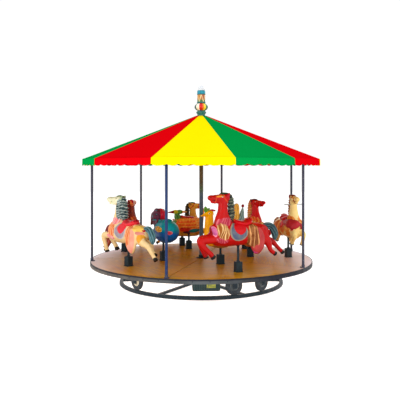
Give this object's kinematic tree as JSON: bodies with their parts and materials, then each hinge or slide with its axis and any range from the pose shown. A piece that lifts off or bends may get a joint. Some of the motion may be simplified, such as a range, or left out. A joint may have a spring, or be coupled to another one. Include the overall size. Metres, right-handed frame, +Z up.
{
  "type": "fairground carousel",
  "caption": "Small fairground carousel: ride animals on a round wheeled platform that turns on a steel base ring, under a striped conical canopy.",
  "frame": {"origin": "on the ground at the turntable's axis", "axes": "+Z up along the turntable's axis, -Y towards the front, +X to the right seen from the front"},
  "size_m": [3.5257, 3.5239, 2.96],
  "materials": {
    "blue_bird_paint": "gloss",
    "brown_horse_paint": "gloss",
    "canopy_cloth": "matte",
    "column_paint": "satin",
    "cream_horse_paint": "gloss",
    "cream_pony_paint": "gloss",
    "crimson_horse_paint": "gloss",
    "finial_paint": "gloss",
    "frame_steel": "satin",
    "golden_horse_paint": "gloss",
    "lamp_dome": "gloss",
    "motor_paint": "satin",
    "mount_steel": "satin",
    "orange_bird_paint": "gloss",
    "peach_bird_paint": "gloss",
    "plywood": "varnished",
    "post_paint": "gloss",
    "red_horse_paint": "gloss",
    "rim_steel": "satin",
    "teal_paint": "gloss",
    "tyre": "matte",
    "yellow_rooster_paint": "gloss"
  },
  "bodies": {
    "base": {"base_frame": "frame_steel", "pivot_post": "frame_steel"},
    "platform": {"blue_bird": "blue_bird_paint", "blue_bird_mount": "mount_steel", "brown_horse": "brown_horse_paint", "brown_horse_mount": "mount_steel", "canopy_cover": "canopy_cloth", "canopy_edge": "frame_steel", "canopy_hoop": "frame_steel", "canopy_rafters": "frame_steel", "canopy_valance": "canopy_cloth", "centre_column": "column_paint", "cream_horse": "cream_horse_paint", "cream_horse_mount": "mount_steel", "cream_pony": "cream_pony_paint", "cream_pony_mount": "mount_steel", "crimson_horse": "crimson_horse_paint", "crimson_horse_mount": "mount_steel", "deck": "plywood", "finial_ball": "finial_paint", "finial_cap": "teal_paint", "finial_drum": "finial_paint", "finial_lamp": "lamp_dome", "golden_horse": "golden_horse_paint", "golden_horse_mount": "mount_steel", "motor_box": "motor_paint", "orange_bird": "orange_bird_paint", "orange_bird_mount": "mount_steel", "peach_bird": "peach_bird_paint", "peach_bird_mount": "mount_steel", "platform_frame": "frame_steel", "post_1": "post_paint", "post_2": "post_paint", "post_3": "post_paint", "post_4": "post_paint", "post_5": "post_paint", "post_6": "post_paint", "red_horse": "red_horse_paint", "red_horse_mount": "mount_steel", "rim_band": "rim_steel", "yellow_rooster": "yellow_rooster_paint", "yellow_rooster_mount": "mount_steel"},
    "wheel_1": {"wheel_1": "tyre"},
    "wheel_2": {"wheel_2": "tyre"},
    "wheel_3": {"wheel_3": "tyre"},
    "wheel_4": {"wheel_4": "tyre"},
    "drive_wheel": {"drive_wheel": "tyre"}
  },
  "joints": [
    {"name": "turntable_spin", "type": "hinge", "parent": "base", "child": "platform", "pos_m": [0, 0, 0.29], "axis": [0, 0, 1], "continuous": true},
    {"name": "wheel_1_spin", "type": "hinge", "parent": "platform", "child": "wheel_1", "pos_m": [-0.87543, -0.81635, 0.1643], "axis": [-0.7314, -0.682, 0], "continuous": true},
    {"name": "wheel_2_spin", "type": "hinge", "parent": "platform", "child": "wheel_2", "pos_m": [0.81635, -0.87543, 0.1643], "axis": [0.682, -0.7314, 0], "continuous": true},
    {"name": "wheel_3_spin", "type": "hinge", "parent": "platform", "child": "wheel_3", "pos_m": [0.87543, 0.81635, 0.1643], "axis": [0.7314, 0.682, 0], "continuous": true},
    {"name": "wheel_4_spin", "type": "hinge", "parent": "platform", "child": "wheel_4", "pos_m": [-0.81635, 0.87543, 0.1643], "axis": [-0.682, 0.7314, 0], "continuous": true},
    {"name": "drive_wheel_spin", "type": "hinge", "parent": "platform", "child": "drive_wheel", "pos_m": [0.42897, -1.1175, 0.1643], "axis": [0.3584, -0.9336, 0], "continuous": true}
  ],
  "couplings": [
    {"joint": "wheel_1_spin", "follows": "turntable_spin", "ratio": -10.144},
    {"joint": "wheel_2_spin", "follows": "turntable_spin", "ratio": -10.144},
    {"joint": "wheel_3_spin", "follows": "turntable_spin", "ratio": -10.144},
    {"joint": "wheel_4_spin", "follows": "turntable_spin", "ratio": -10.144},
    {"joint": "drive_wheel_spin", "follows": "turntable_spin", "ratio": -10.144}
  ]
}
